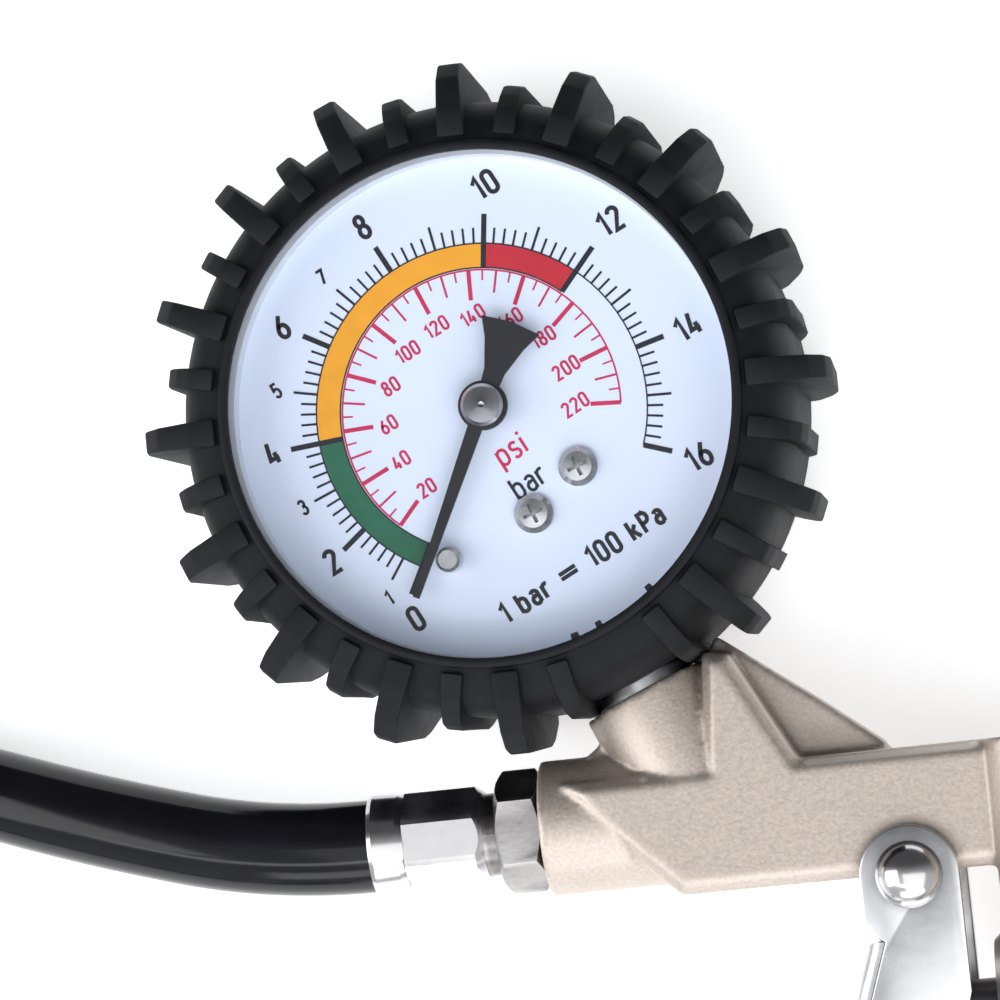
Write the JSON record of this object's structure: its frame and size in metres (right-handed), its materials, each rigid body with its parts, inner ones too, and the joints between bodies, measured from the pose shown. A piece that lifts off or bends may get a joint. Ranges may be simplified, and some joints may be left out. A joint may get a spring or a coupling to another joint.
{
  "type": "tyre inflator with gauge",
  "caption": "Pistol-type tyre inflator with a dial pressure gauge in a tread-pattern rubber boot, a cast body, a squeeze trigger and a rubber hose ending in a clip-on chuck.",
  "frame": {"origin": "centre of the tool's own bounding box (without the hose and chuck), on the surface that it lies on", "axes": "+Z is the dial's outward normal, +Y runs from the handle's air inlet to the gauge, +X runs along the barrel from the hose outlet to the handle"},
  "size_m": [0.2882, 0.2262, 0.033],
  "materials": {
    "boot_rubber": "matt moulded rubber",
    "case_metal": "satin",
    "lens": "clear",
    "seal_rubber": "matt",
    "dial": "printed, pale",
    "zinc_bright": "bright plated",
    "brass": "machined",
    "bourdon": "drawn",
    "spring_steel": "bright",
    "pointer_black": "matt black",
    "washer": "plain",
    "casting": "satin nickel over a die casting",
    "grip": "matt black",
    "pressed_steel": "bright plated",
    "valve_steel": "dark",
    "fitting_chrome": "bright plated",
    "hose": "glossy black"
  },
  "bodies": {
    "frame": {"gauge_boot": "boot_rubber", "gauge_case": "case_metal", "dial_ring": "case_metal", "gauge_lens": "lens", "lens_gasket": "seal_rubber", "stem_seal": "seal_rubber", "chuck_gasket": "seal_rubber", "outlet_hose_tail": "seal_rubber", "chuck_hose_tail": "seal_rubber", "dial_plate": "dial", "dial_screw_1": "zinc_bright", "dial_screw_2": "zinc_bright", "zero_stop_pin": "zinc_bright", "trigger_pin": "zinc_bright", "valve_plug": "zinc_bright", "gauge_socket": "brass", "movement_back_plate": "brass", "movement_front_plate": "brass", "inlet_bush": "brass", "valve_gland": "brass", "chuck_depressor": "brass", "bourdon_tube": "bourdon", "hairspring": "spring_steel", "valve_spring": "spring_steel", "chuck_spring": "spring_steel", "stem_washer": "washer", "gun_body": "casting", "handle_grip": "grip", "outlet_nipple": "fitting_chrome", "outlet_ferrule": "fitting_chrome", "chuck_ferrule": "fitting_chrome", "chuck_body": "fitting_chrome", "chuck_lever_pin": "fitting_chrome", "hose": "hose"},
    "trigger": {"trigger": "pressed_steel"},
    "valve": {"valve_stem": "valve_steel", "poppet_seal": "seal_rubber"},
    "pointer": {"pointer": "pointer_black", "pointer_hub": "zinc_bright", "pinion_arbor": "brass"},
    "sector": {"sector_gear": "brass"},
    "link": {"movement_link": "brass"},
    "chuck_lever": {"chuck_lever": "pressed_steel"}
  },
  "joints": [
    {"name": "trigger_pivot", "type": "hinge", "parent": "frame", "child": "trigger", "pos_m": [0.0239, 0.0033, 0.014], "axis": [0, 0, 1], "range_deg": [0, 14], "stiffness_Nm_per_rad": 2, "springref_deg": -5.73},
    {"name": "valve_slide", "type": "slide", "parent": "frame", "child": "valve", "axis": [1, 0, 0], "range_m": [0, 0.0042], "deforming": ["valve_spring"]},
    {"name": "sector_swing", "type": "hinge", "parent": "frame", "child": "sector", "pos_m": [-0.0369, 0.0667, 0.0177], "axis": [0, 0, 1], "range_deg": [0, 33], "stiffness_Nm_per_rad": 0.0002, "springref_deg": -11.46},
    {"name": "pointer_spin", "type": "hinge", "parent": "frame", "child": "pointer", "pos_m": [-0.0193, 0.0623, 0.0258], "axis": [0, 0, 1], "range_deg": [-265, 0]},
    {"name": "link_swing", "type": "hinge", "parent": "sector", "child": "link", "pos_m": [-0.04227, 0.06727, 0.0186], "axis": [0, 0, 1], "range_deg": [-34, 0]},
    {"name": "chuck_lever_pivot", "type": "hinge", "parent": "frame", "child": "chuck_lever", "pos_m": [-0.08161, -0.11408, 0.0184], "axis": [-0.1414, -0.9899, 0], "range_deg": [0, 12], "stiffness_Nm_per_rad": 0.6, "springref_deg": -5.73, "deforming": ["chuck_spring"]}
  ],
  "couplings": [
    {"joint": "valve_slide", "follows": "trigger_pivot", "m_per_rad": 0.0168},
    {"joint": "pointer_spin", "follows": "sector_swing", "ratio": -8},
    {"joint": "link_swing", "follows": "sector_swing", "ratio": -1}
  ]
}
